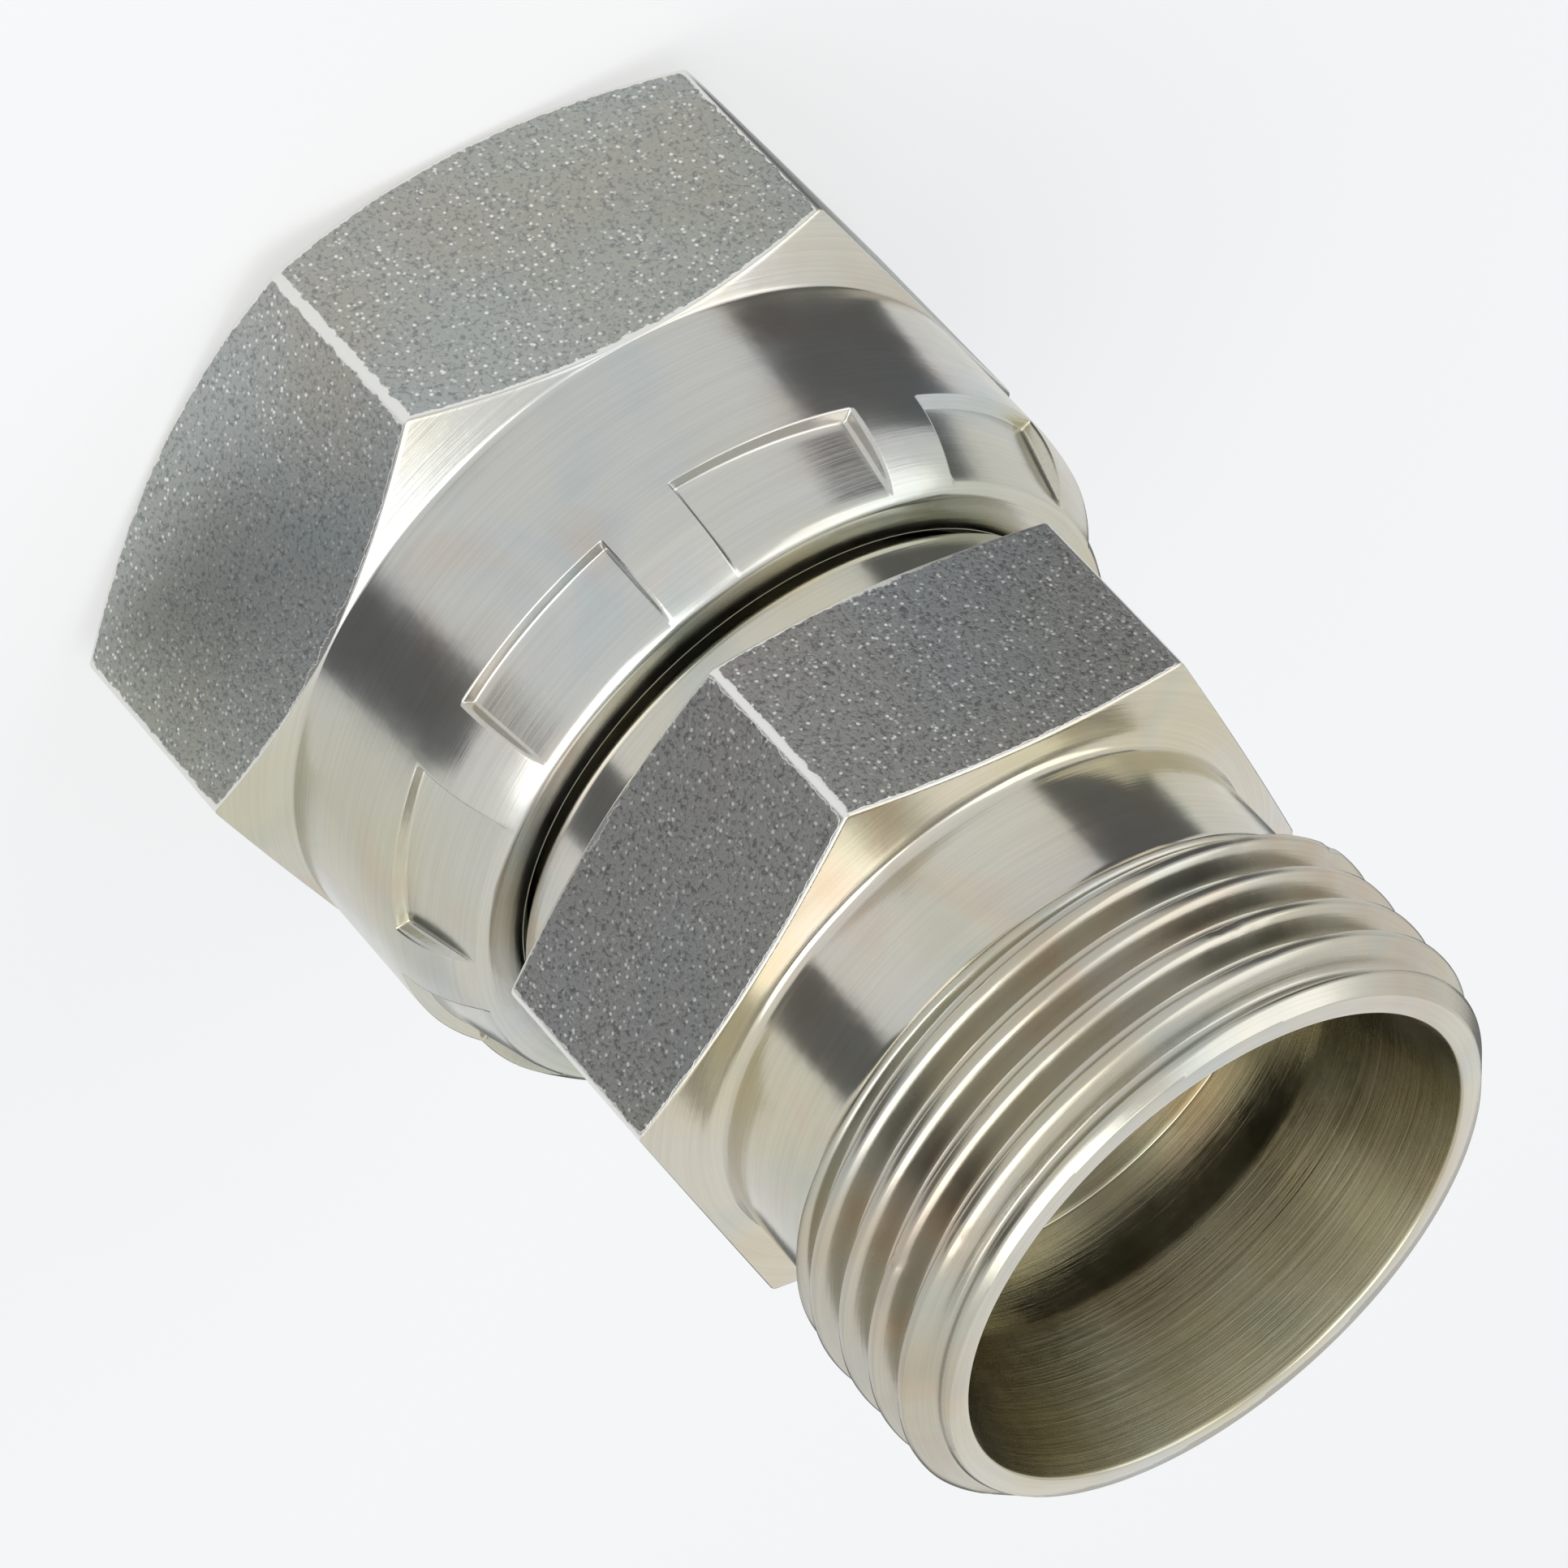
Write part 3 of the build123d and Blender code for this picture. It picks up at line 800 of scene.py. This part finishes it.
def grained_zinc(name, base, dark, strength=0.8):
    """Plated flat of drawn bar: grain with painted glints, dark pits, and a painted highlight along the
    edges.
    """
    material, tree, shader = new_material(name)
    film = use(tree, TINT, Scale=70.0, Strength=0.6, Base=base)
    grain = use(tree, GRAIN, Scale=6200.0)
    highlight_mask = use(tree, HIGHLIGHT_GROUP, Reach=0.45).outputs[0]
    painted_glint = grain.outputs["Painted glint"]
    colour = mix_colour(tree, maths(tree, "MULTIPLY", grain.outputs["Pit"], 0.75), film.outputs[0], dark)
    # Painted glint: a few grain cells lightened towards a bright colour
    colour = mix_colour(tree, painted_glint, colour, PAINTED_GLINT_COLOUR)
    # Painted edge highlight: base colour lightened along the edges, which are also made smoother with a
    # calmer bump
    colour = mix_colour(tree, highlight_mask, colour, EDGE_HIGHLIGHT_COLOUR)
    tree.links.new(colour, shader.inputs["Base Color"])
    smooth = maths(tree, "MAXIMUM", highlight_mask, maths(tree, "MULTIPLY", painted_glint, 0.7))
    tree.links.new(ramp(tree, smooth, 0.0, 1.0, 0.5, 0.3), shader.inputs["Roughness"])
    shader.inputs["Metallic"].default_value = 1.0
    calm = maths(tree, "MULTIPLY", grain.outputs["Height"], ramp(tree, highlight_mask, 0.0, 1.0, 1.0, 0.3))
    tree.links.new(bump(tree, calm, strength, 0.00003), shader.inputs["Normal"])
    return material


def seal_rubber():
    """Black nitrile rubber with a faint dusty bloom."""
    material, tree, shader = new_material("seal rubber")
    bloom = noise(tree, place_on_piece(tree), 900.0, 4.0, 0.6).outputs["Fac"]
    dusty = ramp(tree, bloom, 0.45, 0.75, 0.0, 0.5)
    colour = mix_colour(tree, dusty, (0.012, 0.012, 0.012, 1), (0.05, 0.05, 0.048, 1))
    tree.links.new(colour, shader.inputs["Base Color"])
    tree.links.new(ramp(tree, bloom, 0.3, 0.7, 0.45, 0.62), shader.inputs["Roughness"])
    tree.links.new(bump(tree, bloom, 0.2, 0.00005), shader.inputs["Normal"])
    return material


body = body_piece()
nut = nut_piece()
ring = ring_piece()

# Finishes, in the order of the finish numbers
shank_zinc = turned_zinc("shank zinc", (0.56, 0.56, 0.53, 1))
neck_zinc = turned_zinc("neck zinc", (0.6, 0.58, 0.53, 1), lines=8000.0, roughness=0.16)
thread_zinc = turned_zinc(
    "thread zinc", (0.5, 0.48, 0.42, 1), lines=14000.0, line_bump=0.2, roughness=0.24
)
bore_zinc = turned_zinc("bore zinc", (0.48, 0.46, 0.37, 1), line_bump=0.5, roughness=0.22, dark=0.3)
nut_flat = grained_zinc("nut flat", (0.42, 0.44, 0.43, 1), (0.2, 0.22, 0.23, 1))
body_flat = grained_zinc("body flat", (0.33, 0.33, 0.32, 1), (0.12, 0.12, 0.12, 1), strength=1.0)
for material in (neck_zinc, body_flat, thread_zinc, bore_zinc):
    body.data.materials.append(material)
for material in (shank_zinc, nut_flat, thread_zinc):
    nut.data.materials.append(material)
ring.data.materials.append(seal_rubber())

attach(body, "body")
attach(nut, "nut")
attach(ring, "body")
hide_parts("adaptor_body")
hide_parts("swivel_nut")
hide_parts("o_ring")

# Camera: where the photograph was taken from, in the fitting's frame, angles in degrees
AIM = Vector((2.72, 0.3, 19.87)) * MM
CAMERA_AZIMUTH = 2.405
CAMERA_ELEVATION = 31.245
CAMERA_DISTANCE = 251.6 * MM
CAMERA_ROLL = -137.52
LENS = 184.75


def outward(azimuth, elevation):
    """Unit vector from the fitting towards an azimuth and elevation in degrees."""
    a, e = math.radians(azimuth), math.radians(elevation)
    return Vector((math.cos(e) * math.cos(a), math.cos(e) * math.sin(a), math.sin(e)))


def place_camera():
    """Camera on a sphere round the aim point, rolled about its own line of sight."""
    out = outward(CAMERA_AZIMUTH, CAMERA_ELEVATION)
    right = Vector((0, 0, 1)).cross(out).normalized()
    level = Matrix((right, out.cross(right), out)).transposed()
    roll = Matrix.Rotation(math.radians(-CAMERA_ROLL), 3, "Z")
    data = bpy.data.cameras.new("camera")
    data.lens = LENS
    data.sensor_width = 36.0
    data.clip_start = 0.01
    camera = bpy.data.objects.new("camera", data)
    bpy.context.scene.collection.objects.link(camera)
    camera.matrix_world = Matrix.Translation(AIM + out * CAMERA_DISTANCE) @ (level @ roll).to_4x4()
    bpy.context.scene.camera = camera


LIGHT_AIM = Vector((0, 0, 0.02))
LIGHT_DISTANCE = 0.5
LIGHT_SIZE = 0.45


def area_light(name, azimuth, elevation, power):
    """A square soft light on a sphere round the fitting, facing it."""
    out = outward(azimuth, elevation)
    data = bpy.data.lights.new(name, "AREA")
    data.size = LIGHT_SIZE
    data.energy = power
    light = bpy.data.objects.new(name, data)
    light.location = LIGHT_AIM + out * LIGHT_DISTANCE
    light.rotation_euler = out.to_track_quat("Z", "Y").to_euler()
    bpy.context.scene.collection.objects.link(light)


def stage_sheet(name, points):
    """A flat four-cornered sheet that isn't part of the fitting."""
    mesh = bpy.data.meshes.new(name)
    mesh.from_pydata(points, [], [(0, 1, 2, 3)])
    sheet = bpy.data.objects.new(name, mesh)
    bpy.context.scene.collection.objects.link(sheet)
    return sheet


def seen_or_mirrored(tree):
    """1 for what the camera sees itself, in metal or through glass, and 0 for plain light."""
    path = add(tree, "ShaderNodeLightPath")
    seen = maths(tree, "MAXIMUM", path.outputs["Is Camera Ray"], path.outputs["Is Glossy Ray"])
    return maths(tree, "MAXIMUM", seen, path.outputs["Is Transmission Ray"])


def pale_floor():
    """White floor: it shows white to the camera and in the metal, and keeps the shadow."""
    half, glow_share = 1.5, 0.6
    floor = stage_sheet("floor", [(-half, -half, 0), (half, -half, 0), (half, half, 0), (-half, half, 0)])
    material = bpy.data.materials.new("floor")
    material.use_nodes = True
    tree = material.node_tree
    tree.nodes.clear()
    out = tree.nodes.new("ShaderNodeOutputMaterial")
    matt = add(tree, "ShaderNodeBsdfDiffuse", {"Color": (0.88, 0.88, 0.88, 1)})
    glow = add(tree, "ShaderNodeEmission", {"Color": (1, 1, 1, 1), "Strength": 1.0})
    share = maths(tree, "MULTIPLY", seen_or_mirrored(tree), glow_share)
    mixed = add(tree, "ShaderNodeMixShader", {0: share, 1: matt.outputs[0], 2: glow.outputs[0]})
    tree.links.new(mixed.outputs[0], out.inputs[0])
    floor.data.materials.append(material)


def dark_card(name, azimuth, width, near, far, height):
    """A dark flag near the floor, out of the camera's sight, that shapes the reflections."""
    low, high = math.radians(azimuth - width / 2), math.radians(azimuth + width / 2)
    corners = [(near, low), (near, high), (far, high), (far, low)]
    card = stage_sheet(name, [(d * math.cos(a), d * math.sin(a), height) for d, a in corners])
    material = bpy.data.materials.new(name)
    material.use_nodes = True
    shader = material.node_tree.nodes["Principled BSDF"]
    shader.inputs["Base Color"].default_value = (0.13, 0.13, 0.13, 1)
    shader.inputs["Roughness"].default_value = 0.9
    card.data.materials.append(material)
    card.visible_camera = False
    card.visible_shadow = False
    card.visible_diffuse = False


def studio_world():
    """White to the camera and in reflections, a plain grey light otherwise."""
    world = bpy.data.worlds.new("studio")
    bpy.context.scene.world = world
    world.use_nodes = True
    tree = world.node_tree
    tree.nodes.clear()
    out = tree.nodes.new("ShaderNodeOutputWorld")
    light = add(tree, "ShaderNodeBackground", {"Color": (0.8, 0.85, 0.9, 1), "Strength": 0.6})
    white = add(tree, "ShaderNodeBackground", {"Color": (1, 1, 1, 1), "Strength": 1.0})
    seen = seen_or_mirrored(tree)
    mixed = add(tree, "ShaderNodeMixShader", {0: seen, 1: light.outputs[0], 2: white.outputs[0]})
    tree.links.new(mixed.outputs[0], out.inputs[0])


place_camera()
pale_floor()
studio_world()
area_light("key", 40, 55, 1.3)
area_light("fill", -70, 40, 0.6)
dark_card("card_left", 50, 26, 0.017, 0.2, 0.0004)
dark_card("card_right", -80, 44, 0.017, 0.2, 0.0004)
dark_card("card_back", 180, 70, 0.03, 0.3, 0.0006)
bpy.context.scene.view_settings.view_transform = "Standard"
